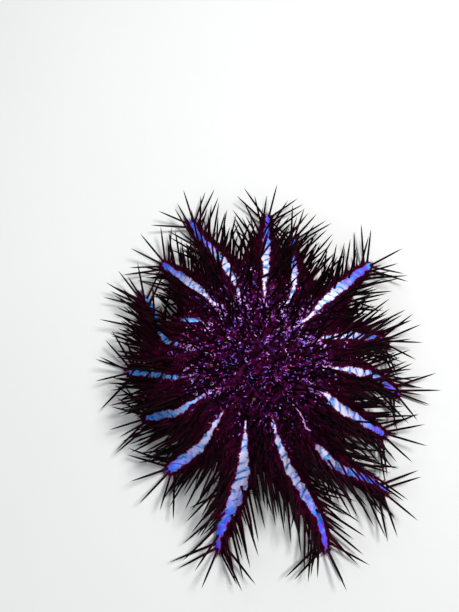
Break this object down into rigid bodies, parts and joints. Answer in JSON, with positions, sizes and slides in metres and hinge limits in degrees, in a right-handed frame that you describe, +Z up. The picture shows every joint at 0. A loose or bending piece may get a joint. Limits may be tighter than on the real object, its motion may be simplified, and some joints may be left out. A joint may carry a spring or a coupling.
{
  "type": "crown of thorns starfish",
  "caption": "Life-size crown of thorns starfish draped in a low dome, its many arms sloping to the floor and covered in long sharp spines.",
  "frame": {"origin": "centre of the whole animal's bounding box in plan, at the floor it rests on", "axes": "+Z up, away from the floor; +Y towards the arms at the top of the picture; +X to the right in the picture"},
  "size_m": [0.3527, 0.4084, 0.1154],
  "materials": {
    "disc_skin": "dark purple-maroon skin of the disc, velvety",
    "arm_skin": "dark maroon skin and spines of the arms, velvety, with a bare blue-violet stripe along each arm"
  },
  "bodies": {
    "root": {"disc": "disc_skin", "arm_01": "arm_skin", "arm_02": "arm_skin", "arm_03": "arm_skin", "arm_04": "arm_skin", "arm_05": "arm_skin", "arm_06": "arm_skin", "arm_07": "arm_skin", "arm_08": "arm_skin", "arm_09": "arm_skin", "arm_10": "arm_skin", "arm_11": "arm_skin", "arm_12": "arm_skin", "arm_13": "arm_skin", "arm_14": "arm_skin", "arm_15": "arm_skin", "arm_16": "arm_skin"}
  },
  "joints": []
}
